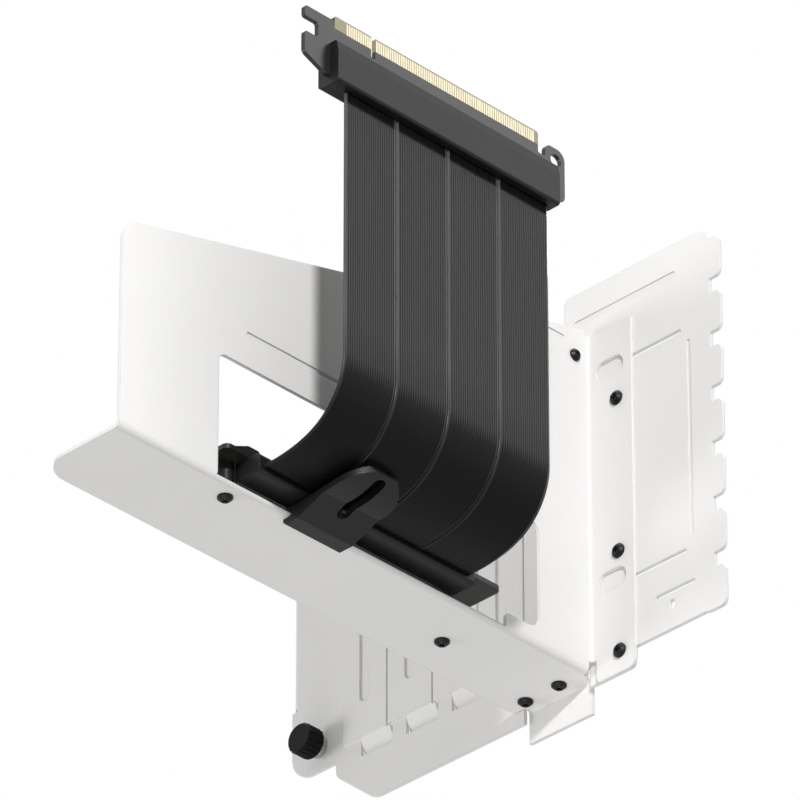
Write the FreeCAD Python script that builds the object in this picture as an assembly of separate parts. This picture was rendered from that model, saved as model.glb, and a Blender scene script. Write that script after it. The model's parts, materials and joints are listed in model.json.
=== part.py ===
import FreeCAD, Part
import math
import os

V = FreeCAD.Vector

# X runs towards the motherboard, Y out through the rear wall of the case and Z up, in mm.
# Drawn from the foot of the shield at the rear plate, then moved to the centre of the case screws.

# Sheet steel
sheet = 1.2
bend_in = 1.2
bend_out = bend_in + sheet
groove_deep = 0.45

# Rear plate
plate_left = -134.6
plate_right = 51.8
plate_top = 144.6
plate_bottom = -5.0
edge_bottom = 3.2
foot_right = 17.0
foot_bottom = -3.6
gpu_top = 119.0
gpu_right = -11.5
slot_pitch = 20.32
tongue_count = 7
tongue_first_z = slot_pitch / 2
tongue_wide = 14.8
tongue_tip = 56.3
fold_bottom = 42.0
fold_top = 118.0
fold_deep = 13.0
case_hole_r = 2.1
case_hole_y = 8.0
case_hole_zs = [2.5 * slot_pitch + slot_pitch * i for i in range(4)]
case_middle_z = sum(case_hole_zs) / len(case_hole_zs)
guide_half = 0.75
guide_slots = [(16.0, 39.3, 110.6), (16.0, 40.0, 28.9), (26.5, 43.4, 16.7)]
peg_slot = (32.2, 34.8, 10.2, 13.6)

# Lug for the thumbscrew at the lower free corner of the plate
lug_x = -122.2
lug_z = 23.4
lug_hole_r = 2.2
lug_bottom = 14.8
lug_right = -114.5
corner_cut_x = 17.0
corner_cut_z = 14.5

# Openings for the graphics card and their blank covers
cover_count = 5
cover_first_x = -19.5
cover_xs = [cover_first_x - slot_pitch * i for i in range(cover_count)]
cover_wide = 19.7
cover_thick = 1.0
cover_low = 19.0
port_wide = 14.0
port_bottom = 24.0
port_top = 110.0
bead_wide = 4.4
bead_low = 32.0
bead_high = 104.0
bead_deep = 0.6
foot_shift = 4.7
foot_wide = 13.2
tongue_slot_wide = 14.0
tongue_slot_low = 12.6
tongue_slot_high = 20.6
shelf_left = cover_xs[-1] - 10.3
shelf_right = cover_first_x + 10.3
shelf_deep = 12.5
shelf_hole_y = 8.0

# Tray, shield and flange, one folded sheet
tray_wide = 34.8
tray_end = -207.2
tray_corner_r = 10.0
shield_low = 74.0
shield_high = 128.0
flange_right = 18.5
flange_bottom = -4.3
flange_top = 125.0
flange_screw_x = 12.2
flange_screw_zs = [3.4, 39.9, 96.8]
flange_window_zs = [30.8, 109.5]
drop_left = -30.2
drop_right = -3.0
drop_y = 3.0
drop_flange = -12.0
window_left = -165.8
window_right = -24.7
window_top = 45.0
window_sill = 6.0
sill_left = -40.0

# Lip and tab of the rear plate that hold the tray and the shield
lip_left = -30.0
lip_right = -2.6
lip_deep = 9.0
lip_screw_xs = [-26.6, -12.0]
lip_screw_y = -3.7
tab_low = 111.5
tab_high = 119.5
tab_deep = 12.0
tab_screw_y = -7.6
tab_screw_z = 115.5

# Screws
screw_r = 1.5
thread_hole_r = 1.55
clear_r = 1.7
head_r = 2.5
head_high = 1.5
shield_head_r = 2.1

# Riser slot board
board_z = 11.0
board_thick = 1.6
board_top = board_z + board_thick
board_y0 = -164.0
board_y1 = -44.0
board_x0 = -26.0
board_x1 = 2.0
board_screws = [(-6.6, -156.2), (-19.5, -48.6)]
board_nut_high = 2.2
slot_x = -13.0
slot_wide = 7.5
slot_high = 11.25
slot_top = board_top + slot_high
slot_y1 = -48.0
slot_long = 89.0
slot_y0 = slot_y1 - slot_long
card_gap = 2.0
card_deep = 8.3
pin_pitch = 1.0
pins_short = 11
pins_long = 71
key_wide = 2.0
pivot_y = slot_y0 - 3.6
pivot_z = 17.0
pivot_r = 1.0
pivot_play = 0.05

# Ribbon cable, two layers of four strips
strip_count = 4
strip_wide = 22.3
strip_pitch = 22.6
strip_thick = 1.0
ribbon_mid_y = -107.9
ribbon_mid_x = 40.0
layer_gap = 1.6
layer_shift = 1.8
bend_r = 25.8
bend_x = ribbon_mid_x - bend_r
bend_z = 33.5
clamp_x0 = -4.0
clamp_x1 = 6.5
clamp_low = 4.4
clamp_y0 = -154.5
clamp_y1 = -60.5

# Plug
plug_low = 127.8
plug_split = 131.0
plug_cover_top = 143.0
plug_cover_half = 4.4
plug_y0 = -159.2
plug_y1 = -60.4
plug_top = 154.0
edge_y0 = -153.0
edge_y1 = -66.5
block_y0 = -157.4
tail_y0 = -170.3
hook_y1 = -54.4
hook_hole_y = -58.4
hook_hole_z = 147.0
finger_high = 4.2
finger_wide = 0.7
finger_thick = 0.05

# Cable saddle clipped to the edge of the tray
saddle_y0 = -134.5
saddle_y1 = -111.0
saddle_thick = 2.2
saddle_r = 29.0
saddle_turn = math.radians(29.0)
saddle_corner_r = 11.5
jaw_reach = -6.0
jaw_under = -3.4
jaw_low = -2.2
jaw_high = 3.3

# Thumbscrew
knob_r = 5.4
knob_y0 = -9.5
knob_y1 = -2.6
knob_wall = 1.5
flute_count = 18
flute_r = 0.75
stud_r = 2.0
stud_thread_r = 1.75
stud_end = 9.0
collar_r = 3.8
ring_r = 3.6
ring_thick = 0.7
plate_gap = 0.15


def box(x0, x1, y0, y1, z0, z1):
    return Part.makeBox(x1 - x0, y1 - y0, z1 - z0, V(x0, y0, z0))


def rod(r, start, end):
    axis = end - start
    return Part.makeCylinder(r, axis.Length, start, axis)


def line(start, end):
    return Part.LineSegment(start, end).toShape()


def arc(start, through, end):
    return Part.Arc(start, through, end).toShape()


def in_xz(a, b):
    return V(a, 0, b)


def in_yz(a, b):
    return V(0, a, b)


def in_xy(a, b):
    return V(a, b, 0)


# Face bounded by corners (a, b, radius), each rounded by an arc
def rounded_face(corners, place):
    bends = []
    for i, (a, b, r) in enumerate(corners):
        here = place(a, b)
        back = place(*corners[i - 1][:2]) - here
        ahead = place(*corners[(i + 1) % len(corners)][:2]) - here
        back.normalize()
        ahead.normalize()
        half = back.getAngle(ahead) / 2
        if r == 0:
            bends.append((here, None, here))
            continue
        middle = back + ahead
        middle.normalize()
        run = r / math.tan(half)
        through = here + middle * (r / math.sin(half) - r)
        bends.append((here + back * run, through, here + ahead * run))
    edges = []
    for i, (start, through, end) in enumerate(bends):
        last = bends[i - 1][2]
        if (start - last).Length > 1e-6:
            edges.append(line(last, start))
        if through is not None:
            edges.append(arc(start, through, end))
    return Part.Face(Part.Wire(edges))


# Prisms of a rounded outline along Y, X and Z
def slab_xz(corners, y0, y1):
    face = rounded_face(corners, in_xz)
    face.translate(V(0, y0, 0))
    return face.extrude(V(0, y1 - y0, 0))


def slab_yz(corners, x0, x1):
    face = rounded_face(corners, in_yz)
    face.translate(V(x0, 0, 0))
    return face.extrude(V(x1 - x0, 0, 0))


def slab_xy(corners, z0, z1):
    face = rounded_face(corners, in_xy)
    face.translate(V(0, 0, z0))
    return face.extrude(V(0, 0, z1 - z0))


def rectangle(a0, a1, b0, b1, r):
    return [(a0, b0, r), (a1, b0, r), (a1, b1, r), (a0, b1, r)]


def joined(shapes):
    return shapes[0].fuse(shapes[1:]).removeSplitter()


# Pan head screw with a cross recess, seated at start with its shank along the axis
def pan_screw(start, axis, long, wide=head_r):
    crown = wide * 0.62
    rim = -head_high * 0.45
    profile = [(0, long, 0), (0, -head_high, 0), (crown, -head_high, 0), (wide, rim, 0), (wide, 0, 0),
               (screw_r, 0, 0), (screw_r, long, 0)]
    screw = rounded_face(profile, in_xz).revolve(V(0, 0, 0), V(0, 0, 1), 360)
    reach = wide * 0.5
    arm = wide * 0.14
    recess = box(-reach, reach, -arm, arm, -2 * head_high, rim)
    screw = screw.cut(recess.fuse(box(-arm, arm, -reach, reach, -2 * head_high, rim)))
    screw.Placement = FreeCAD.Placement(start, FreeCAD.Rotation(V(0, 0, 1), axis))
    return screw


# Section of a folded sheet: a run up to the sharp outer corner and a run across from it
def bent_strip(run, along, corner, across, rise):
    def place(back, up):
        return corner - along * back + across * up

    far = bend_out + run
    high = bend_out + rise
    return rounded_face([(far, 0, 0), (0, 0, bend_out), (0, high, 0), (sheet, high, 0),
                         (sheet, sheet, bend_in), (far, sheet, 0)], place)


# Fold at the free side of the rear plate, turned outwards, with the case screw holes
def screw_fold():
    fold = bent_strip(8, V(-1, 0, 0), V(plate_left, 0, fold_bottom), V(0, 1, 0), fold_deep - bend_out)
    fold = fold.extrude(V(0, 0, fold_top - fold_bottom))
    return fold.cut([rod(case_hole_r, V(plate_left - 2, case_hole_y, z), V(plate_left + 4, case_hole_y, z))
                     for z in case_hole_zs])


# Shelf above the card openings, turned outwards, for the screws of the covers and the card
def cover_shelf():
    shelf = bent_strip(5, V(0, 0, 1), V(shelf_left, 0, gpu_top), V(0, 1, 0), shelf_deep - bend_out)
    shelf = shelf.extrude(V(shelf_right - shelf_left, 0, 0))
    return shelf.cut([rod(thread_hole_r, V(x, shelf_hole_y, gpu_top - 4), V(x, shelf_hole_y, gpu_top + 4))
                      for x in cover_xs])


# Lip at the foot of the plate, turned inwards over the end of the tray
def tray_lip():
    lip = bent_strip(3, V(0, 0, -1), V(lip_left, sheet, sheet), V(0, -1, 0), lip_deep)
    lip = lip.extrude(V(lip_right - lip_left, 0, 0))
    return lip.cut([rod(thread_hole_r, V(x, lip_screw_y, 0), V(x, lip_screw_y, 6)) for x in lip_screw_xs])


# Tab behind the shield for its own screw, turned inwards through an opening
def shield_tab():
    tab = bent_strip(3, V(1, 0, 0), V(-sheet, sheet, tab_low), V(0, -1, 0), tab_deep)
    tab = tab.extrude(V(0, 0, tab_high - tab_low))
    return tab.cut(rod(thread_hole_r, V(-5, tab_screw_y, tab_screw_z), V(1, tab_screw_y, tab_screw_z)))


# Openings for the card, slots for the feet of the covers, guide slots and screw holes
def plate_openings():
    holes = []
    half = port_wide / 2
    foot_half = tongue_slot_wide / 2
    for x in cover_xs:
        holes.append(slab_xz(rectangle(x - half, x + half, port_bottom, port_top, 2), -1, 3))
        foot = x + foot_shift
        holes.append(box(foot - foot_half, foot + foot_half, -1, 3, tongue_slot_low, tongue_slot_high))
    for x0, x1, z in guide_slots:
        holes.append(slab_xz(rectangle(x0, x1, z - guide_half, z + guide_half, 0.7), -1, 3))
    holes.append(slab_xz(rectangle(*peg_slot, 1.1), -1, 3))
    for z in flange_screw_zs:
        holes.append(rod(clear_r, V(flange_screw_x, -1, z), V(flange_screw_x, 3, z)))
    holes.append(rod(lug_hole_r, V(lug_x, -1, lug_z), V(lug_x, 3, lug_z)))

    # Pressed grooves that stiffen the plate
    holes.append(slab_xz(rectangle(-7, 37, 132.6, 134.4, 0.8), -1, groove_deep))
    holes.append(slab_xz(rectangle(41.6, 43, 34, 106, 0.6), -1, groove_deep))
    return holes


# Rear plate: tongues for the case, fold for the case screws, openings for the card
def rear_plate():
    cover_end = shelf_right + 1.7
    lip_middle = (lip_left + lip_right) / 2
    outline = [
        (plate_right, edge_bottom, 2), (plate_right, plate_top, 6), (gpu_right, plate_top, 2.5),
        (gpu_right, gpu_top + 5, 1), (cover_end, gpu_top + 5, 1), (cover_end, gpu_top, 0),
        (plate_left, gpu_top, 6), (plate_left, lug_bottom, 9), (lug_right, lug_bottom, 2),
        (lug_right, plate_bottom + corner_cut_z, 4), (lug_right + corner_cut_x, plate_bottom, 8),
        (lip_middle, plate_bottom, 0), (lip_middle, foot_bottom, 0), (foot_right, foot_bottom, 2),
        (foot_right, edge_bottom, 0),
    ]
    tongues = []
    half = tongue_wide / 2
    for i in range(tongue_count):
        z = tongue_first_z + slot_pitch * i
        tongues.append(slab_xz(rectangle(plate_right - 5, tongue_tip, z - half, z + half, 2.4), 0, sheet))
    plate = joined([slab_xz(outline, 0, sheet)] + tongues)

    # Room for the four bends
    plate = plate.cut([
        box(plate_left - 1, plate_left + bend_out, -1, 2, fold_bottom - 1, fold_top + 5),
        box(shelf_left - 1, shelf_right + 1, -1, 2, gpu_top - bend_out, gpu_top + 1),
        box(lip_left - 0.6, lip_right + 0.6, -1, 2, plate_bottom - 1, sheet + bend_out),
        box(-sheet - bend_out, 4, -1, 2, tab_low - 0.5, tab_high + 0.5),
    ])
    plate = joined([plate, screw_fold(), cover_shelf(), tray_lip(), shield_tab()])
    return plate.cut(plate_openings())


# Foot of a blank cover, stepped outwards through its slot and kept clear of the next cover
def cover_foot(x):
    profile = [(-1, 21, 0), (-1, 19.4, 0), (1.3, 13.4, 0), (1.3, 3.5, 0), (2.3, 3.5, 0), (2.3, 14, 0),
               (0, 20, 0), (0, 21, 0)]
    middle = x + foot_shift
    side = x + cover_wide / 2 - 0.1
    foot = slab_yz(profile, middle - foot_wide / 2, middle + foot_wide / 2)
    return foot.cut(box(side, side + 10, -3, 5, cover_low - 0.3, cover_low + 5))


# Blank cover with a pressed bead and a top bent over the shelf
def slot_cover(x):
    half = cover_wide / 2
    top = gpu_top + cover_thick
    front = shelf_deep - 0.5
    profile = [(-cover_thick, cover_low, 0), (-cover_thick, top, bend_out + cover_thick), (front, top, 0),
               (front, gpu_top, 0), (0, gpu_top, bend_out), (0, cover_low, 0)]
    bead_half = bead_wide / 2
    rim = rectangle(x - bead_half - 0.4, x + bead_half + 0.4, bead_low - 0.4, bead_high + 0.4, 2.5)
    cover = joined([slab_yz(profile, x - half, x + half), cover_foot(x), slab_xz(rim, 0, bead_deep)])
    bead = slab_xz(rectangle(x - bead_half, x + bead_half, bead_low, bead_high, 2.1),
                   -2 * cover_thick, bead_deep - cover_thick)
    notch = slab_xy(rectangle(x - clear_r, x + clear_r, shelf_hole_y - clear_r, shelf_deep + 2, 1.6),
                    gpu_top - 1, top + 1)
    return cover.cut([notch, bead])


# Window, screw holes and pressed groove of the folded tray
def tray_openings():
    holes = [slab_yz([(window_left, sheet, 0), (window_left, window_top, 3), (window_right, window_top, 4),
                      (window_right, window_sill, 5), (sill_left, window_sill, 1.5), (sill_left, sheet, 0)],
                     -8, 2)]
    for z in flange_screw_zs:
        holes.append(rod(clear_r, V(flange_screw_x, -3, z), V(flange_screw_x, 1, z)))
    for z in flange_window_zs:
        holes.append(slab_xz(rectangle(3, 15, z - 3.6, z + 3.6, 3.4), -3, 1))
    for x, y in board_screws:
        holes.append(rod(clear_r, V(x, y, -1), V(x, y, 3)))
    for x in lip_screw_xs:
        holes.append(rod(clear_r, V(x, lip_screw_y, -1), V(x, lip_screw_y, 3)))
    holes.append(rod(clear_r, V(-3, tab_screw_y, tab_screw_z), V(2, tab_screw_y, tab_screw_z)))

    # Pressed groove above the window and another beside the fold
    holes.append(slab_yz(rectangle(-154, -56, 56.2, 57.8, 0.7), -groove_deep, 2))
    holes.append(slab_yz(rectangle(-20, -12, 119.6, 121, 0.6), -groove_deep, 2))
    return holes


# Tray, shield and rear flange folded from one sheet
def riser_tray():
    body = bent_strip(tray_wide - bend_out, V(1, 0, 0), V(0, tray_end, 0), V(0, 0, 1), shield_high)
    body = body.extrude(V(0, -bend_out - tray_end, 0))
    side = [(tray_end, -20, 0), (tray_end, shield_low, 8), (0, shield_high, 0), (0, -20, 0)]
    plan = [(-tray_wide, tray_end, tray_corner_r), (5, tray_end, 0), (5, 5, 0), (-tray_wide, 5, 0)]
    body = body.common(slab_yz(side, -40, 40)).common(slab_xy(plan, -30, 150))

    # Rear flange towards the motherboard, screwed to the plate
    turn_low = 4
    turn = bent_strip(2, V(0, 1, 0), V(-sheet, 0, turn_low), V(1, 0, 0), flange_right + sheet - bend_out)
    turn = turn.extrude(V(0, 0, flange_top - turn_low))
    foot_left = bend_in + 0.6
    foot = slab_xz([(foot_left, flange_bottom, 2), (flange_right, flange_bottom, 3), (flange_right, 12, 0),
                    (foot_left, 12, 0)], -sheet, 0)

    # Tail that passes under the lip, with a short flange turned down behind the plate
    tail = box(-tray_wide, -bend_out, -4, -0.3, 0, sheet)
    drop = bent_strip(4, V(0, 1, 0), V(drop_left, drop_y, sheet), V(0, 0, -1), sheet - drop_flange - bend_out)
    drop = drop.extrude(V(drop_right - drop_left, 0, 0))
    return joined([body, turn, foot, tail, drop]).cut(tray_openings())


def flange_screws():
    return [pan_screw(V(flange_screw_x, -sheet, z), V(0, 1, 0), 5.2) for z in flange_screw_zs]


def shield_screw():
    return pan_screw(V(0, tab_screw_y, tab_screw_z), V(-1, 0, 0), 5.0, shield_head_r)


# Round press nuts behind the rear plate
def clinch_nuts():
    nuts = []
    for z in flange_screw_zs:
        nut = rod(3.2, V(flange_screw_x, sheet, z), V(flange_screw_x, sheet + 2.2, z))
        nuts.append(nut.cut(rod(thread_hole_r, V(flange_screw_x, 0, z), V(flange_screw_x, 5, z))))
    return nuts


def cover_screws():
    return [pan_screw(V(x, shelf_hole_y, gpu_top + cover_thick), V(0, 0, -1), 4.5) for x in cover_xs]


def tray_end_screws():
    return [pan_screw(V(x, lip_screw_y, 0), V(0, 0, 1), 4.5) for x in lip_screw_xs]


def board_bolts():
    return [pan_screw(V(x, y, 0), V(0, 0, 1), board_top + 3.0) for x, y in board_screws]


def board_spacers():
    return [rod(2.7, V(x, y, sheet), V(x, y, board_z)).cut(rod(clear_r, V(x, y, 0), V(x, y, 12)))
            for x, y in board_screws]


def board_nuts():
    nuts = []
    for x, y in board_screws:
        nut = rod(2.6, V(x, y, board_top), V(x, y, board_top + board_nut_high))
        nuts.append(nut.cut(rod(thread_hole_r, V(x, y, 12), V(x, y, 16))))
    return nuts


def slot_board():
    outline = rectangle(board_x0, board_x1, board_y0, board_y1, 2)
    board = slab_xy(outline, board_z, board_top)
    return board.cut([rod(clear_r, V(x, y, 10), V(x, y, 14)) for x, y in board_screws])


# Places of the contact pairs, counted from the first one, with the key between the two groups
def pin_places(first_y, step):
    group = [first_y + step * i for i in range(pins_short)]
    gap = key_wide if step > 0 else -key_wide
    start = group[-1] + gap + step
    return group + [start + step * i for i in range(pins_long)]


def key_place(pins):
    return (pins[pins_short - 1] + pins[pins_short]) / 2


def slot_pins():
    return pin_places(slot_y1 - 3.0, -pin_pitch)


def plug_pins():
    return pin_places(edge_y0 + 1.2, pin_pitch)


# Slot moulding with the card gap, the key and two ears for the latch
def slot_housing():
    half = slot_wide / 2
    body = slab_xy(rectangle(slot_x - half, slot_x + half, slot_y0, slot_y1, 0.8), board_top, slot_top)
    ears = []
    for side in (-1, 1):
        x = slot_x + side * (half - 0.7)
        ear = [(slot_y0 - 6.5, board_top, 0), (slot_y0 + 1, board_top, 0), (slot_y0 + 1, slot_top - 2.5, 0),
               (slot_y0 - 6.5, slot_top - 4.5, 2.5)]
        ears.append(slab_yz(ear, x - 0.7, x + 0.7))
    housing = joined([body] + ears)

    gap = card_gap / 2
    key_y = key_place(slot_pins())
    floor = slot_top - card_deep
    cuts = [box(slot_x - gap, slot_x + gap, key_y + key_wide / 2, slot_y1 - 1.8, floor, slot_top + 1),
            box(slot_x - gap, slot_x + gap, slot_y0 + 1.8, key_y - key_wide / 2, floor, slot_top + 1)]
    # Side recesses lighten the walls between the contacts
    for side in (-1, 1):
        x = slot_x + side * half
        for i in range(8):
            y = slot_y0 + 4 + 10.4 * i
            cuts.append(box(x - 0.5, x + 0.5, y, y + 8.2, board_top + 2.5, slot_top - 3))
    cuts.append(rod(pivot_r + pivot_play, V(slot_x - 8, pivot_y, pivot_z), V(slot_x + 8, pivot_y, pivot_z)))
    return housing.cut(cuts)


# Spring contacts, two rows of blades set in the walls of the card gap
def slot_contacts():
    blades = []
    low = slot_top - card_deep
    for y in slot_pins():
        for side in (-1, 1):
            x = slot_x + side * (card_gap / 2 - 0.15)
            blades.append(box(x - 0.15, x + 0.15, y - 0.3, y + 0.3, low, low + 6.2))
    return blades


# Latch that hooks the tail of the card, hung on a moulded pin
def slot_latch():
    outline = [(-2.2, -2.4, 1.5), (2.2, -2.4, 1.5), (2.2, 6.6, 0.4), (3.6, 7.4, 0.4), (3.2, 9.4, 0.8),
               (-1.5, 9.4, 1.5), (-8.5, 6.4, 0.8), (-8.5, 4.6, 0.8), (-2.2, 4.4, 1.5)]
    lever = slab_yz([(pivot_y + y, pivot_z + z, r) for y, z, r in outline], slot_x - 2.0, slot_x + 2.0)
    half = slot_wide / 2
    pin = rod(pivot_r, V(slot_x - half, pivot_y, pivot_z), V(slot_x + half, pivot_y, pivot_z))
    return joined([lever, pin])


# Bar that grips the ribbons under the edge of the board
def ribbon_clamp():
    profile = [(clamp_x0, clamp_low, 1.2), (clamp_x1, clamp_low, 1.2), (clamp_x1, board_z, 1.0),
               (clamp_x0, board_z, 0)]
    return slab_xz(profile, clamp_y0, clamp_y1)


# One strip of a layer: out from the clamp, round the bend and up to the plug
def ribbon_strip(index, side):
    centre_r = bend_r + side * layer_gap / 2
    outer = centre_r + strip_thick / 2
    inner = centre_r - strip_thick / 2
    section = [
        (clamp_x1, bend_z - outer, 0), (bend_x + outer, bend_z - outer, outer),
        (bend_x + outer, plug_low, 0), (bend_x + inner, plug_low, 0),
        (bend_x + inner, bend_z - inner, inner), (clamp_x1, bend_z - inner, 0),
    ]
    y0 = ribbon_mid_y + (index - strip_count / 2) * strip_pitch + (strip_pitch - strip_wide) / 2
    if side < 0:
        y0 += layer_shift
    return slab_xz(section, y0, y0 + strip_wide)


# Board of the plug: forked tail, card edge with its key notch, and hook with a hole
def plug_board():
    outline = [
        (tail_y0, 134.8, 2), (tail_y0, 142.5, 1), (-164.5, 142.5, 1), (-164.5, 148, 1), (tail_y0, 148, 1),
        (tail_y0, 152, 1), (block_y0, 152, 0.5), (block_y0, plug_top, 0.8), (edge_y1, plug_top, 0.8),
        (edge_y1, 146.5, 0.6), (-63.2, 146.5, 0.6), (-63.2, 151.5, 2.5), (hook_y1, 151.5, 3.5),
        (hook_y1, 133, 3), (-59.5, plug_split, 0), (-161, plug_split, 0),
    ]
    half = board_thick / 2
    board = slab_yz(outline, ribbon_mid_x - half, ribbon_mid_x + half)
    key_y = key_place(plug_pins())
    notch = slab_yz(rectangle(key_y - 0.95, key_y + 0.95, plug_top - 8, plug_top + 2, 0.9), 30, 50)
    return board.cut([notch, rod(2.4, V(30, hook_hole_y, hook_hole_z), V(50, hook_hole_y, hook_hole_z))])


# Gold fingers on both faces of the card edge
def plug_contacts():
    fingers = []
    half = finger_thick / 2
    top = plug_top - 0.6
    for y in plug_pins():
        for side in (-1, 1):
            x = ribbon_mid_x + side * (board_thick / 2 + half)
            fingers.append(box(x - half, x + half, y - finger_wide / 2, y + finger_wide / 2,
                               top - finger_high, top))
    return fingers


# Half of the moulded cover over the ends of the ribbons
def plug_cover(side):
    half = board_thick / 2
    far = plug_cover_half
    profile = [(half, plug_cover_top, 0), (far - 0.8, plug_cover_top, 0.8), (far, 139.0, 1.0),
               (far, plug_low, 1.0), (0, plug_low, 0), (0, plug_split, 0), (half, plug_split, 0)]
    return slab_xz([(ribbon_mid_x + side * a, b, r) for a, b, r in profile], plug_y0, plug_y1)


def round_the_bend(r, turn):
    return V(bend_x + r * math.sin(turn), 0, bend_z - r * math.cos(turn))


# Spring clip with a curved tongue that carries the bend of the ribbons
def cable_saddle():
    low_r = saddle_r + saddle_thick
    tip_low = round_the_bend(low_r, saddle_turn)
    tip_high = round_the_bend(saddle_r, saddle_turn)
    neck = 3.0
    run = [round_the_bend(saddle_r, 0), V(neck, 0, jaw_high), V(jaw_reach, 0, jaw_high),
           V(jaw_reach, 0, 1.3), V(0.2, 0, 1.3), V(0.2, 0, -0.1), V(jaw_under, 0, -0.1),
           V(jaw_under, 0, jaw_low + 1), V(jaw_under + 1, 0, jaw_low), V(neck, 0, jaw_low),
           round_the_bend(low_r, 0)]
    edges = [line(start, end) for start, end in zip(run, run[1:])]
    edges.append(arc(run[-1], round_the_bend(low_r, saddle_turn / 2), tip_low))
    edges.append(line(tip_low, tip_high))
    edges.append(arc(tip_high, round_the_bend(saddle_r, saddle_turn / 2), run[0]))
    face = Part.Face(Part.Wire(edges))
    face.translate(V(0, saddle_y0, 0))
    saddle = face.extrude(V(0, saddle_y1 - saddle_y0, 0))

    # Slot for a tie along the middle and a rounded tip
    middle = (saddle_y0 + saddle_y1) / 2
    saddle = saddle.cut(slab_xy(rectangle(9, 28, middle - 2.2, middle + 2.2, 2.1), -20, 40))
    end_x = tip_low.x + 0.5
    plan = [(-10, saddle_y0, 0), (end_x, saddle_y0, saddle_corner_r), (end_x, saddle_y1, saddle_corner_r),
            (-10, saddle_y1, 0)]
    return saddle.common(slab_xy(plan, -20, 40))


def on_lug(y):
    return V(lug_x, y, lug_z)


# Fluted head of the thumbscrew
def thumbscrew_knob():
    knob = rod(knob_r, on_lug(knob_y0), on_lug(knob_y1))
    knob = knob.makeChamfer(0.7, [e for e in knob.Edges if e.Length > 2 * knob_r and e.isClosed()])
    flutes = []
    for i in range(flute_count):
        turn = 2 * math.pi * i / flute_count
        out = V(math.cos(turn), 0, math.sin(turn)) * (knob_r + 0.35)
        flutes.append(rod(flute_r, on_lug(knob_y0 - 1) + out, on_lug(knob_y1 + 1) + out))
    return knob.cut(flutes + [rod(stud_r, on_lug(knob_y0 + knob_wall), on_lug(0))])


# Stud with its collar and its thread, from inside the knob to past the plate
def thumbscrew_stud():
    thread_start = sheet + plate_gap + ring_thick
    whole = joined([
        rod(stud_r, on_lug(knob_y0 + knob_wall), on_lug(thread_start)),
        rod(collar_r, on_lug(knob_y1), on_lug(-plate_gap)),
        rod(stud_thread_r, on_lug(thread_start), on_lug(stud_end)),
    ])
    tip = [e for e in whole.Edges if e.isClosed() and abs(e.CenterOfMass.y - stud_end) < 0.01]
    return whole.makeChamfer(0.6, tip)


# Snap ring that keeps the stud in the plate
def thumbscrew_ring():
    y0 = sheet + plate_gap
    ring = rod(ring_r, on_lug(y0), on_lug(y0 + ring_thick)).cut(rod(stud_r, on_lug(0), on_lug(5)))
    return ring.cut(box(lug_x - 1.1, lug_x + 1.1, 0, 5, lug_z - 6, lug_z))


def save(name, shape):
    if isinstance(shape, list):
        shape = Part.makeCompound(shape)
    shape.translate(V(-plate_left, -case_hole_y, -case_middle_z))
    shape.exportStep(os.path.join("parts", name + ".step"))


def main():
    os.makedirs("parts", exist_ok=True)
    save("rear_plate", rear_plate())
    save("riser_tray", riser_tray())
    for i, x in enumerate(cover_xs):
        save(f"slot_cover_{i + 1}", slot_cover(x))
    save("cover_screws", cover_screws())
    save("flange_screws", flange_screws())
    save("shield_screw", shield_screw())
    save("clinch_nuts", clinch_nuts())
    save("tray_end_screws", tray_end_screws())
    save("board_bolts", board_bolts())
    save("board_spacers", board_spacers())
    save("board_nuts", board_nuts())
    save("slot_board", slot_board())
    save("slot_housing", slot_housing())
    save("slot_contacts", slot_contacts())
    save("slot_latch", slot_latch())
    save("ribbon_clamp", ribbon_clamp())
    for i in range(strip_count):
        save(f"ribbon_inner_{i + 1}", ribbon_strip(i, -1))
        save(f"ribbon_outer_{i + 1}", ribbon_strip(i, 1))
    print("ribbon bend radii", bend_r - layer_gap / 2, bend_r + layer_gap / 2)
    save("plug_board", plug_board())
    save("plug_contacts", plug_contacts())
    save("plug_cover_front", plug_cover(1))
    save("plug_cover_back", plug_cover(-1))
    save("cable_saddle", cable_saddle())
    save("thumbscrew_knob", thumbscrew_knob())
    save("thumbscrew_stud", thumbscrew_stud())
    save("thumbscrew_ring", thumbscrew_ring())


main()
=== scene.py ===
import json
import math

import bpy
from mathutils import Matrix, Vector


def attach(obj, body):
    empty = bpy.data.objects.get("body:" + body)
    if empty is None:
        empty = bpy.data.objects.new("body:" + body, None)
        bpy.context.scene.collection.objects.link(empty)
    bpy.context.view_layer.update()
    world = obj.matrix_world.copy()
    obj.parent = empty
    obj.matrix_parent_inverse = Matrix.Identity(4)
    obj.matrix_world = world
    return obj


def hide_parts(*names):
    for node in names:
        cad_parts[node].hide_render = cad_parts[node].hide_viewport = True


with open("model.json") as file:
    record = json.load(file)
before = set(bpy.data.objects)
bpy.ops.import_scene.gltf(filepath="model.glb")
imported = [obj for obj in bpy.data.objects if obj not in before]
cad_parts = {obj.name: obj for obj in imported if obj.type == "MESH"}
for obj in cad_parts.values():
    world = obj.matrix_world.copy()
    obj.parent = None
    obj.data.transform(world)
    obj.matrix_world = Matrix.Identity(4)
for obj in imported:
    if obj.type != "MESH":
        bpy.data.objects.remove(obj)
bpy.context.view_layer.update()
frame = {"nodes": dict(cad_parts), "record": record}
nodes = frame["nodes"]
mm = 0.001
print("frame loaded, nodes:", len(nodes))


# colours are written as sRGB hex, the shaders want linear values
def linear(hexColour):
    channels = [int(hexColour[i:i + 2], 16) / 255 for i in (1, 3, 5)]
    return [c / 12.92 if c <= 0.04045 else ((c + 0.055) / 1.055) ** 2.4 for c in channels] + [1.0]


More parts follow.
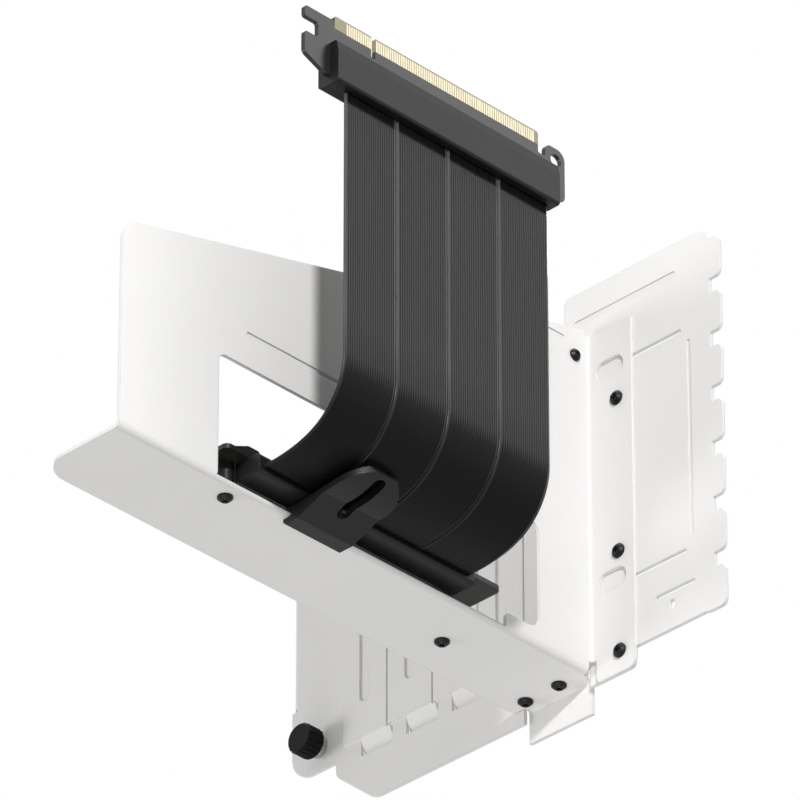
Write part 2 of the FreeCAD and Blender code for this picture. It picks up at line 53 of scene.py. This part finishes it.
# adds one node: settings go to its sockets or its own properties, links join other nodes to its sockets
def addNode(tree, kind, settings=None, links=None):
    node = tree.nodes.new(kind)
    for key, value in (settings or {}).items():
        if isinstance(key, int) or key in node.inputs:
            node.inputs[key].default_value = value
        else:
            setattr(node, key, value)
    for key, source in (links or {}).items():
        tree.links.new(source, node.inputs[key])
    return node


def newMaterial(name):
    mat = bpy.data.materials.new(name)
    mat.use_nodes = True
    mat.node_tree.nodes.clear()
    return mat, mat.node_tree


# camera: the photograph looks up at the mount from below, from far away
shot = {
    "aim": (137.1 * mm, -97.6 * mm, -20.6 * mm),
    "azimuth": 44.55,
    "elevation": -32.2,
    "distance": 3.0,
    "lens": 433.8,
    "sensor": 36.0,
    "clipStart": 0.05,
}


def setCamera():
    az = math.radians(shot["azimuth"])
    el = math.radians(shot["elevation"])
    back = Vector((math.sin(az) * math.cos(el), -math.cos(az) * math.cos(el), math.sin(el)))
    data = bpy.data.cameras.new("photoCamera")
    data.lens = shot["lens"]
    data.sensor_width = shot["sensor"]
    data.clip_start = shot["clipStart"]
    cam = bpy.data.objects.new("photoCamera", data)
    bpy.context.scene.collection.objects.link(cam)
    cam.location = Vector(shot["aim"]) + back * shot["distance"]
    cam.rotation_euler = back.to_track_quat("Z", "Y").to_euler()
    bpy.context.scene.camera = cam


setCamera()
print("camera set")


# powder coated steel, sprayed dry and baked: soft satin white with a fine pebbled skin, thin on cut edges
def powderCoatedSteel():
    mat, tree = newMaterial("powderCoatedSteel_sprayed")
    place = addNode(tree, "ShaderNodeTexCoord").outputs["Object"]
    # cloudy change of shade over about 45 mm
    cloud = addNode(tree, "ShaderNodeTexNoise", {"Scale": 1 / (45 * mm), "Detail": 2.0}, {"Vector": place})
    shade = addNode(tree, "ShaderNodeMix",
                    {"data_type": "RGBA", 6: linear("#ecebea"), 7: linear("#e6e5e4")},
                    {0: cloud.outputs["Fac"]})
    # the coat pulls back from cut edges, which look a little greyer
    soft = addNode(tree, "ShaderNodeBevel", {"samples": 6, "Radius": 0.45 * mm})
    flat = addNode(tree, "ShaderNodeNewGeometry")
    turn = addNode(tree, "ShaderNodeVectorMath", {"operation": "DOT_PRODUCT"},
                   {0: soft.outputs["Normal"], 1: flat.outputs["Normal"]})
    edge = addNode(tree, "ShaderNodeMapRange", {"From Min": 1.0, "From Max": 0.75, "To Max": 0.55},
                   {"Value": turn.outputs["Value"]})
    worn = addNode(tree, "ShaderNodeMix", {"data_type": "RGBA", 7: linear("#cbcac9")},
                   {0: edge.outputs["Result"], 6: shade.outputs[2]})
    # pebbles of powder are about 0.3 mm, drawn at 0.8 mm so that they show at this distance
    pebble = addNode(tree, "ShaderNodeTexNoise",
                     {"Scale": 1 / (0.8 * mm), "Detail": 2.0, "Roughness": 0.55}, {"Vector": place})
    gloss = addNode(tree, "ShaderNodeMapRange", {"To Min": 0.4, "To Max": 0.54},
                    {"Value": pebble.outputs["Fac"]})
    bump = addNode(tree, "ShaderNodeBump", {"Strength": 0.16, "Distance": 0.06 * mm},
                   {"Height": pebble.outputs["Fac"], "Normal": soft.outputs["Normal"]})
    skin = addNode(tree, "ShaderNodeBsdfPrincipled", {"IOR": 1.5},
                   {"Base Color": worn.outputs[2], "Roughness": gloss.outputs["Result"],
                    "Normal": bump.outputs["Normal"]})
    addNode(tree, "ShaderNodeOutputMaterial", links={"Surface": skin.outputs[0]})
    return mat


# steel screws plated in black zinc: a dark metal with a dull glint and slightly bright worn rims
def blackZincSteel():
    mat, tree = newMaterial("blackZincSteel_plated")
    place = addNode(tree, "ShaderNodeTexCoord").outputs["Object"]
    grain = addNode(tree, "ShaderNodeTexNoise", {"Scale": 1 / (0.5 * mm), "Detail": 3.0}, {"Vector": place})
    soft = addNode(tree, "ShaderNodeBevel", {"samples": 6, "Radius": 0.2 * mm})
    flat = addNode(tree, "ShaderNodeNewGeometry")
    turn = addNode(tree, "ShaderNodeVectorMath", {"operation": "DOT_PRODUCT"},
                   {0: soft.outputs["Normal"], 1: flat.outputs["Normal"]})
    rim = addNode(tree, "ShaderNodeMapRange", {"From Min": 1.0, "From Max": 0.7, "To Max": 0.5},
                  {"Value": turn.outputs["Value"]})
    tone = addNode(tree, "ShaderNodeMix", {"data_type": "RGBA", 6: linear("#2b2b2c"), 7: linear("#6a6a6b")},
                   {0: rim.outputs["Result"]})
    gloss = addNode(tree, "ShaderNodeMapRange", {"To Min": 0.28, "To Max": 0.5},
                    {"Value": grain.outputs["Fac"]})
    bump = addNode(tree, "ShaderNodeBump", {"Strength": 0.2, "Distance": 0.03 * mm},
                   {"Height": grain.outputs["Fac"], "Normal": soft.outputs["Normal"]})
    metal = addNode(tree, "ShaderNodeBsdfPrincipled", {"Metallic": 1.0},
                    {"Base Color": tone.outputs[2], "Roughness": gloss.outputs["Result"],
                     "Normal": bump.outputs["Normal"]})
    addNode(tree, "ShaderNodeOutputMaterial", links={"Surface": metal.outputs[0]})
    return mat


# bright zinc plate on turned steel: pale grey metal with a faint cloudy bloom
def zincPlatedSteel():
    mat, tree = newMaterial("zincPlatedSteel_turned")
    place = addNode(tree, "ShaderNodeTexCoord").outputs["Object"]
    bloom = addNode(tree, "ShaderNodeTexNoise", {"Scale": 1 / (2.5 * mm), "Detail": 3.0}, {"Vector": place})
    tone = addNode(tree, "ShaderNodeMix", {"data_type": "RGBA", 6: linear("#c6c8c5"), 7: linear("#a4a6a4")},
                   {0: bloom.outputs["Fac"]})
    gloss = addNode(tree, "ShaderNodeMapRange", {"To Min": 0.25, "To Max": 0.45},
                    {"Value": bloom.outputs["Fac"]})
    bump = addNode(tree, "ShaderNodeBump", {"Strength": 0.12, "Distance": 0.03 * mm},
                   {"Height": bloom.outputs["Fac"]})
    metal = addNode(tree, "ShaderNodeBsdfPrincipled", {"Metallic": 1.0},
                    {"Base Color": tone.outputs[2], "Roughness": gloss.outputs["Result"],
                     "Normal": bump.outputs["Normal"]})
    addNode(tree, "ShaderNodeOutputMaterial", links={"Surface": metal.outputs[0]})
    return mat


# glass laminate board under black solder mask: glossy black with faint raised tracks, bare laminate
# in a band at the card edge
def maskedLaminate(name, band):
    mat, tree = newMaterial(name)
    place = addNode(tree, "ShaderNodeTexCoord").outputs["Object"]
    # tracks are 0.15 mm wide, drawn as wavy bands 7.54 mm apart so that they show
    waveTurn = 2 * math.pi / 20  # a wave texture of scale 1 repeats after this length
    tracks = addNode(tree, "ShaderNodeTexWave",
                     {"bands_direction": "X", "Scale": waveTurn / (7.54 * mm), "Distortion": 2.0,
                      "Detail": 1.0},
                     {"Vector": place})
    mask = addNode(tree, "ShaderNodeMix", {"data_type": "RGBA", 6: linear("#1b1e1b"), 7: linear("#262925")},
                   {0: tracks.outputs["Fac"]})
    axes = addNode(tree, "ShaderNodeSeparateXYZ", links={"Vector": place})
    high = addNode(tree, "ShaderNodeMapRange",
                   {"From Min": band["above"], "From Max": band["above"] + band["fade"]},
                   {"Value": axes.outputs["Z"]})
    fromMiddle = addNode(tree, "ShaderNodeMath", {"operation": "SUBTRACT", 1: band["middle"]},
                         {0: axes.outputs["Y"]})
    outward = addNode(tree, "ShaderNodeMath", {"operation": "ABSOLUTE"}, {0: fromMiddle.outputs[0]})
    inside = addNode(tree, "ShaderNodeMapRange",
                     {"From Min": band["half"], "From Max": band["half"] - band["fade"]},
                     {"Value": outward.outputs[0]})
    bare = addNode(tree, "ShaderNodeMath", {"operation": "MULTIPLY"},
                   {0: high.outputs["Result"], 1: inside.outputs["Result"]})
    tone = addNode(tree, "ShaderNodeMix", {"data_type": "RGBA", 7: linear("#8d8468")},
                   {0: bare.outputs[0], 6: mask.outputs[2]})
    bump = addNode(tree, "ShaderNodeBump", {"Strength": 0.2, "Distance": 0.03 * mm},
                   {"Height": tracks.outputs["Fac"]})
    board = addNode(tree, "ShaderNodeBsdfPrincipled",
                    {"IOR": 1.52, "Roughness": 0.3, "Specular IOR Level": 0.38},
                    {"Base Color": tone.outputs[2], "Normal": bump.outputs["Normal"]})
    addNode(tree, "ShaderNodeOutputMaterial", links={"Surface": board.outputs[0]})
    return mat


# black moulded plastic off a spark eroded tool: even dark matt skin with a fine grain
def mouldedPlastic(name, settings):
    mat, tree = newMaterial(name)
    place = addNode(tree, "ShaderNodeTexCoord").outputs["Object"]
    grain = addNode(tree, "ShaderNodeTexNoise", {"Scale": 1 / settings["grain"], "Detail": 3.0},
                    {"Vector": place})
    flow = addNode(tree, "ShaderNodeTexNoise", {"Scale": 1 / (18 * mm), "Detail": 1.0}, {"Vector": place})
    tone = addNode(tree, "ShaderNodeMix",
                   {"data_type": "RGBA", 6: linear(settings["dark"]), 7: linear(settings["pale"])},
                   {0: flow.outputs["Fac"]})
    soft = addNode(tree, "ShaderNodeBevel", {"samples": 6, "Radius": settings["edge"]})
    gloss = addNode(tree, "ShaderNodeMapRange",
                    {"To Min": settings["glossLeast"], "To Max": settings["glossMost"]},
                    {"Value": grain.outputs["Fac"]})
    bump = addNode(tree, "ShaderNodeBump", {"Strength": 0.25, "Distance": 0.05 * mm},
                   {"Height": grain.outputs["Fac"], "Normal": soft.outputs["Normal"]})
    plastic = addNode(tree, "ShaderNodeBsdfPrincipled",
                      {"IOR": settings["ior"], "Specular IOR Level": settings["shine"]},
                      {"Base Color": tone.outputs[2], "Roughness": gloss.outputs["Result"],
                       "Normal": bump.outputs["Normal"]})
    addNode(tree, "ShaderNodeOutputMaterial", links={"Surface": plastic.outputs[0]})
    return mat


# gold flash over nickel, plated: warm pale metal with fine scuffs from plugging in
def goldFlash():
    mat, tree = newMaterial("goldFlash_plated")
    place = addNode(tree, "ShaderNodeTexCoord").outputs["Object"]
    # scuffs run up the fingers, 0.2 mm apart, drawn at 0.4 mm
    stretch = addNode(tree, "ShaderNodeMapping", {"Scale": (1 / (0.4 * mm), 1 / (0.4 * mm), 1 / (4 * mm))},
                      {"Vector": place})
    scuff = addNode(tree, "ShaderNodeTexNoise", {"Scale": 1.0, "Detail": 2.0},
                    {"Vector": stretch.outputs["Vector"]})
    tone = addNode(tree, "ShaderNodeMix", {"data_type": "RGBA", 6: linear("#c3bca8"), 7: linear("#b3a98d")},
                   {0: scuff.outputs["Fac"]})
    gloss = addNode(tree, "ShaderNodeMapRange", {"To Min": 0.22, "To Max": 0.45},
                    {"Value": scuff.outputs["Fac"]})
    bump = addNode(tree, "ShaderNodeBump", {"Strength": 0.15, "Distance": 0.02 * mm},
                   {"Height": scuff.outputs["Fac"]})
    metal = addNode(tree, "ShaderNodeBsdfPrincipled", {"Metallic": 1.0},
                    {"Base Color": tone.outputs[2], "Roughness": gloss.outputs["Result"],
                     "Normal": bump.outputs["Normal"]})
    addNode(tree, "ShaderNodeOutputMaterial", links={"Surface": metal.outputs[0]})
    return mat


# soft PVC jacket calendered over flat wires: near black satin, with a painted highlight on the welded edges
# that fades round the bend, and with the shine turned down round the bend as painted shade
def calenderedPvc(settings):
    mat, tree = newMaterial("softPvcJacket_calendered")
    coords = addNode(tree, "ShaderNodeTexCoord")
    # calender lines run along the strip, about 0.3 mm apart, drawn at 0.6 mm
    stretch = addNode(tree, "ShaderNodeMapping", {"Scale": (1 / (14 * mm), 1 / (0.6 * mm), 1 / (14 * mm))},
                      {"Vector": coords.outputs["Object"]})
    lines = addNode(tree, "ShaderNodeTexNoise", {"Scale": 1.0, "Detail": 2.0},
                    {"Vector": stretch.outputs["Vector"]})
    tone = addNode(tree, "ShaderNodeMix", {"data_type": "RGBA", 6: linear("#0f0e0e"), 7: linear("#151414")},
                   {0: lines.outputs["Fac"]})
    across = addNode(tree, "ShaderNodeSeparateXYZ", links={"Vector": coords.outputs["Generated"]})
    fromMiddle = addNode(tree, "ShaderNodeMath", {"operation": "SUBTRACT", 1: 0.5},
                         {0: across.outputs["Y"]})
    outward = addNode(tree, "ShaderNodeMath", {"operation": "ABSOLUTE"}, {0: fromMiddle.outputs[0]})
    weld = addNode(tree, "ShaderNodeMapRange",
                   {"From Min": settings["weldFrom"], "From Max": settings["weldTo"]},
                   {"Value": outward.outputs[0]})
    axes = addNode(tree, "ShaderNodeSeparateXYZ", links={"Vector": coords.outputs["Object"]})
    upright = addNode(tree, "ShaderNodeMapRange",
                      {"From Min": settings["bendLow"], "From Max": settings["bendHigh"]},
                      {"Value": axes.outputs["Z"]})
    # painted highlight on the welded edges: full up the straight run, faded round the bend
    pale = addNode(tree, "ShaderNodeMapRange", {"To Min": settings["weldHighlightAtBend"], "To Max": 1.0},
                   {"Value": upright.outputs["Result"]})
    paintedWeldHighlight = addNode(tree, "ShaderNodeMath", {"operation": "MULTIPLY"},
                   {0: weld.outputs["Result"], 1: pale.outputs["Result"]})
    jacket = addNode(tree, "ShaderNodeMix", {"data_type": "RGBA", 7: linear("#545150")},
                     {0: paintedWeldHighlight.outputs[0], 6: tone.outputs[2]})
    # painted shade: the shine is turned down round the bend, so that the bend looks dark
    shine = addNode(tree, "ShaderNodeMapRange",
                    {"To Min": settings["paintedShadeShineAtBend"], "To Max": settings["shineAbove"]},
                    {"Value": upright.outputs["Result"]})
    gloss = addNode(tree, "ShaderNodeMapRange", {"To Min": 0.22, "To Max": 0.32},
                    {"Value": lines.outputs["Fac"]})
    bump = addNode(tree, "ShaderNodeBump", {"Strength": 0.15, "Distance": 0.04 * mm},
                   {"Height": lines.outputs["Fac"]})
    skin = addNode(tree, "ShaderNodeBsdfPrincipled", {"IOR": 1.53},
                   {"Base Color": jacket.outputs[2], "Roughness": gloss.outputs["Result"],
                    "Specular IOR Level": shine.outputs["Result"], "Normal": bump.outputs["Normal"]})
    addNode(tree, "ShaderNodeOutputMaterial", links={"Surface": skin.outputs[0]})
    return mat


# covers, clamp, saddle, slot and spacers
nylon = {
    "grain": 0.6 * mm,
    "dark": "#0f0f10",
    "pale": "#171718",
    "edge": 0.35 * mm,
    "glossLeast": 0.36,
    "glossMost": 0.5,
    "ior": 1.53,
    "shine": 0.25,
}

# head of the hand screw
knobAbs = {
    "grain": 0.5 * mm,
    "dark": "#090909",
    "pale": "#0e0e0f",
    "edge": 0.25 * mm,
    "glossLeast": 0.44,
    "glossMost": 0.58,
    "ior": 1.54,
    "shine": 0.1,
}

# bare band at the top of the plug board
cardEdge = {"above": 68.0 * mm, "middle": -119.95 * mm, "half": 45.4 * mm, "fade": 0.2 * mm}

# welds are places across a strip, counted from its middle as a share of its width
pvcJacket = {
    "weldFrom": 0.455,
    "weldTo": 0.475,
    # share of the painted highlight on the welds that is kept round the bend
    "weldHighlightAtBend": 0.2,
    "bendLow": -64.0 * mm,
    "bendHigh": -35.0 * mm,
    # shine round the bend, turned down as painted shade
    "paintedShadeShineAtBend": 0.08,
    "shineAbove": 0.165,
}

finishes = {
    "white_steel": powderCoatedSteel(),
    "black_screw": blackZincSteel(),
    "zinc_steel": zincPlatedSteel(),
    "circuit_board": maskedLaminate("glassLaminate_masked", cardEdge),
    "black_moulding": mouldedPlastic("nylon_moulded", nylon),
    "gold_contact": goldFlash(),
    "ribbon_jacket": calenderedPvc(pvcJacket),
    "knob_plastic": mouldedPlastic("abs_moulded", knobAbs),
}
print("materials made:", len(finishes))

for piece in frame["record"]["subparts"]:
    mesh = nodes[piece["node"]].data
    mesh.materials.clear()
    mesh.materials.append(finishes[piece["material_slot"]])
print("materials on the solids")


# flat cable: two layers of four strips from the clamp, round the bend and up to the plug
ribbon = {
    "innerRoute": [(141.1, -72.78), (159.16, -72.78), (173.8, -58.14), (173.8, -37.47), (173.8, 46.52)],
    "outerRoute": [(141.1, -74.38), (159.82, -74.38), (175.4, -58.8), (175.4, -36.81), (175.4, 46.52)],
    "innerMiddles": [-148.0, -125.4, -102.8, -80.2],
    "outerMiddles": [-149.8, -127.2, -104.6, -82.0],
    "wide": 22.3,
    "thick": 1.0,
    "ribs": 22,
    "ribDeep": 0.12,
    "edgeRound": 0.35,
    "edgeFlat": 0.4,
    "steps": 26,
    "innerLength": 0.141,
    "outerLength": 0.144,
}


# points of the smooth line through a route, read back from the spline
def routePoints(name, route, y):
    curve = bpy.data.curves.new(name + "Route", "CURVE")
    curve.dimensions = "3D"
    curve.resolution_u = ribbon["steps"]
    spline = curve.splines.new("NURBS")
    spline.points.add(len(route) - 1)
    for point, (x, z) in zip(spline.points, route):
        point.co = (x * mm, y * mm, z * mm, 1.0)
    spline.order_u = 3
    spline.use_endpoint_u = True
    carrier = bpy.data.objects.new(name + "Route", curve)
    line = bpy.data.meshes.new_from_object(carrier)
    points = [v.co.copy() for v in line.vertices]
    bpy.data.objects.remove(carrier)
    bpy.data.meshes.remove(line)
    return points


# section of a strip as (across, through) points, wires showing as low ribs on both faces
def stripSection():
    half = ribbon["wide"] / 2 * mm
    deep = ribbon["thick"] / 2 * mm
    inset = ribbon["edgeRound"] * mm
    flat = deep * ribbon["edgeFlat"]
    count = ribbon["ribs"] * 4
    top = []
    for i in range(count + 1):
        share = i / count
        across = (half - inset) * (2 * share - 1)
        groove = 0.5 - 0.5 * math.cos(2 * math.pi * share * ribbon["ribs"])
        top.append((across, deep - ribbon["ribDeep"] * mm * (1 - groove)))
    under = [(across, -through) for across, through in reversed(top)]
    return top + [(half, flat), (half, -flat)] + under + [(-half, -flat), (-half, flat)]


def makeStrip(name, route, y):
    points = routePoints(name, route, y)
    section = stripSection()
    verts = []
    for i, point in enumerate(points):
        ahead = points[min(i + 1, len(points) - 1)] - points[max(i - 1, 0)]
        side = Vector((-ahead.z, 0, ahead.x)).normalized()
        for across, through in section:
            verts.append(point + Vector((0, across, 0)) + side * through)
    ring = len(section)
    faces = []
    for i in range(len(points) - 1):
        for j in range(ring):
            k = (j + 1) % ring
            faces.append((i * ring + j, i * ring + k, (i + 1) * ring + k, (i + 1) * ring + j))
    faces.append(tuple(reversed(range(ring))))
    faces.append(tuple(range((len(points) - 1) * ring, len(points) * ring)))
    mesh = bpy.data.meshes.new(name)
    mesh.from_pydata(verts, [], faces)
    mesh.shade_smooth()
    mesh.update()
    mesh.materials.append(finishes["ribbon_jacket"])
    strip = bpy.data.objects.new(name, mesh)
    bpy.context.scene.collection.objects.link(strip)
    return strip, points


for layer in ("inner", "outer"):
    route = ribbon[layer + "Route"]
    for i, y in enumerate(ribbon[layer + "Middles"]):
        node = f"ribbon_{layer}_{i + 1}"
        strip, points = makeStrip("flatCable_" + layer + str(i + 1), route, y)
        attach(strip, "mount")
        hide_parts(node)
print("flat cable made")


# stud of the hand screw, with the thread that the solid leaves plain; steps are (along Y, radius)
stud = {
    "x": 12.4,
    "z": -57.88,
    "steps": [(-16.0, 2.0), (-10.6, 2.0), (-10.6, 3.8), (-8.15, 3.8), (-8.15, 2.0), (-5.95, 2.0)],
    "threadR": 1.75,
    "threadDeep": 0.32,
    "pitch": 0.6,
    "end": 1.0,
    "chamfer": 0.6,
    "sides": 48,
    "rowsPerTurn": 8,
    "sharpAngle": 50.0,
}


# radius of the thread at a place along the stud and a share of a turn
def threadRadius(y, share):
    crest = stud["threadR"] - max(0.0, stud["chamfer"] - (stud["end"] - y))
    phase = (y / stud["pitch"] - share) % 1.0
    return crest - stud["threadDeep"] * abs(2 * phase - 1)


def makeStud(name):
    sides = stud["sides"]
    threadStart = stud["steps"][-1][0]
    threadRows = round((stud["end"] - threadStart) / stud["pitch"] * stud["rowsPerTurn"])
    rings = [(y, [r] * sides) for y, r in stud["steps"]]
    for k in range(threadRows + 1):
        y = threadStart + (stud["end"] - threadStart) * k / threadRows
        rings.append((y, [threadRadius(y, j / sides) for j in range(sides)]))
    verts = []
    for y, radii in rings:
        for j, r in enumerate(radii):
            turn = 2 * math.pi * j / sides
            x = stud["x"] + r * math.cos(turn)
            z = stud["z"] + r * math.sin(turn)
            verts.append((x * mm, y * mm, z * mm))
    faces = []
    for i in range(len(rings) - 1):
        for j in range(sides):
            k = (j + 1) % sides
            faces.append((i * sides + j, (i + 1) * sides + j, (i + 1) * sides + k, i * sides + k))
    faces.append(tuple(range(sides)))
    faces.append(tuple(reversed(range((len(rings) - 1) * sides, len(rings) * sides))))
    mesh = bpy.data.meshes.new(name)
    mesh.from_pydata(verts, [], faces)
    mesh.shade_smooth()
    mesh.set_sharp_from_angle(angle=math.radians(stud["sharpAngle"]))
    mesh.update()
    mesh.materials.append(finishes["zinc_steel"])
    obj = bpy.data.objects.new(name, mesh)
    bpy.context.scene.collection.objects.link(obj)
    return obj


threadedStud = makeStud("threadedStud")
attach(threadedStud, "thumbscrew")
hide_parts("thumbscrew_stud")
print("threaded stud made")


# room: pale floor well below the camera, soft lamps, white behind everything
room = {
    "floorZ": -4.4,
    "floorHalf": 12.0,
    "floorRows": 24,
    "floorPale": "#f1f1ef",
    "floorDark": "#ededeb",
    "floorGlow": 0.6,
    "sky": 0.28,
}


# one for rays that the camera, a reflection or glass sends, none for light that bounces about
def seenRays(tree):
    path = addNode(tree, "ShaderNodeLightPath")
    seen = addNode(tree, "ShaderNodeMath", {"operation": "MAXIMUM"},
                   {0: path.outputs["Is Camera Ray"], 1: path.outputs["Is Glossy Ray"]})
    seenToo = addNode(tree, "ShaderNodeMath", {"operation": "MAXIMUM"},
                      {0: seen.outputs[0], 1: path.outputs["Is Transmission Ray"]})
    return seenToo.outputs[0]


# rolled floor paint: an even pale matt white with a faint cloud, about 400 mm across, from the roller
def makeFloor():
    half = room["floorHalf"]
    rows = room["floorRows"]
    verts = []
    for i in range(rows + 1):
        for j in range(rows + 1):
            verts.append((half * (2 * i / rows - 1), half * (2 * j / rows - 1), room["floorZ"]))
    faces = []
    for i in range(rows):
        for j in range(rows):
            a = i * (rows + 1) + j
            faces.append((a, a + rows + 1, a + rows + 2, a + 1))
    mesh = bpy.data.meshes.new("paleFloor")
    mesh.from_pydata(verts, [], faces)
    mat, tree = newMaterial("paintedFloor_rolled")
    place = addNode(tree, "ShaderNodeTexCoord").outputs["Object"]
    roll = addNode(tree, "ShaderNodeTexNoise", {"Scale": 1 / (400 * mm), "Detail": 2.0}, {"Vector": place})
    tone = addNode(tree, "ShaderNodeMix",
                   {"data_type": "RGBA", 6: linear(room["floorPale"]), 7: linear(room["floorDark"])},
                   {0: roll.outputs["Fac"]})
    paint = addNode(tree, "ShaderNodeBsdfPrincipled", {"Roughness": 0.7, "IOR": 1.5},
                    {"Base Color": tone.outputs[2]})
    # the floor looks paler than its paint without sending more light up to the mount
    share = addNode(tree, "ShaderNodeMath", {"operation": "MULTIPLY", 1: room["floorGlow"]},
                    {0: seenRays(tree)})
    glow = addNode(tree, "ShaderNodeEmission", {"Color": linear("#ffffff")})
    look = addNode(tree, "ShaderNodeMixShader",
                   links={0: share.outputs[0], 1: paint.outputs[0], 2: glow.outputs[0]})
    addNode(tree, "ShaderNodeOutputMaterial", links={"Surface": look.outputs[0]})
    mat.cycles.emission_sampling = "NONE"
    mesh.materials.append(mat)
    floor = bpy.data.objects.new("paleFloor", mesh)
    bpy.context.scene.collection.objects.link(floor)


# white where the camera, a reflection or glass looks, dimmer as the light that falls on the mount
def makeSky():
    world = bpy.data.worlds.new("whiteRoom")
    bpy.context.scene.world = world
    world.use_nodes = True
    tree = world.node_tree
    tree.nodes.clear()
    strength = addNode(tree, "ShaderNodeMapRange", {"To Min": room["sky"], "To Max": 1.0},
                       {"Value": seenRays(tree)})
    sky = addNode(tree, "ShaderNodeBackground", {"Color": linear("#ffffff")},
                  {"Strength": strength.outputs["Result"]})
    addNode(tree, "ShaderNodeOutputWorld", links={"Surface": sky.outputs[0]})


# keyPanel is small and near, so the shadow of the cable on the shield has an edge; leftPanel fills the
# front, lowPanel the undersides, backPanel the back, topPanel what looks up; the cable mirrors sheenPanel
lamps = {
    "keyPanel": {"toward": (0.775, -0.57, 0.26), "far": 1.2, "size": 0.1, "watts": 11.4},
    "leftPanel": {"toward": (-0.76, -0.62, -0.15), "far": 3.3, "size": 1.6, "watts": 42.0},
    "lowPanel": {"toward": (0.0, -0.3, -0.95), "far": 3.3, "size": 2.0, "watts": 18.0},
    "backPanel": {"toward": (-0.35, 0.85, 0.4), "far": 3.3, "size": 2.0, "watts": 60.0},
    "topPanel": {"toward": (0.0, 0.0, 1.0), "far": 12.0, "size": 12.0, "watts": 850.0},
    "sheenPanel": {"toward": (0.593, 0.603, 0.533), "far": 3.3, "size": 1.6, "watts": 11.6},
}


def makeLamps():
    aim = Vector(shot["aim"])
    for name, lamp in lamps.items():
        data = bpy.data.lights.new(name, "AREA")
        data.shape = "DISK"
        data.size = lamp["size"]
        data.energy = lamp["watts"]
        obj = bpy.data.objects.new(name, data)
        bpy.context.scene.collection.objects.link(obj)
        obj.location = aim + Vector(lamp["toward"]).normalized() * lamp["far"]
        obj.rotation_euler = (obj.location - aim).to_track_quat("Z", "Y").to_euler()


makeFloor()
makeSky()
makeLamps()
bpy.context.scene.view_settings.view_transform = "Standard"
print("room and lamps set")
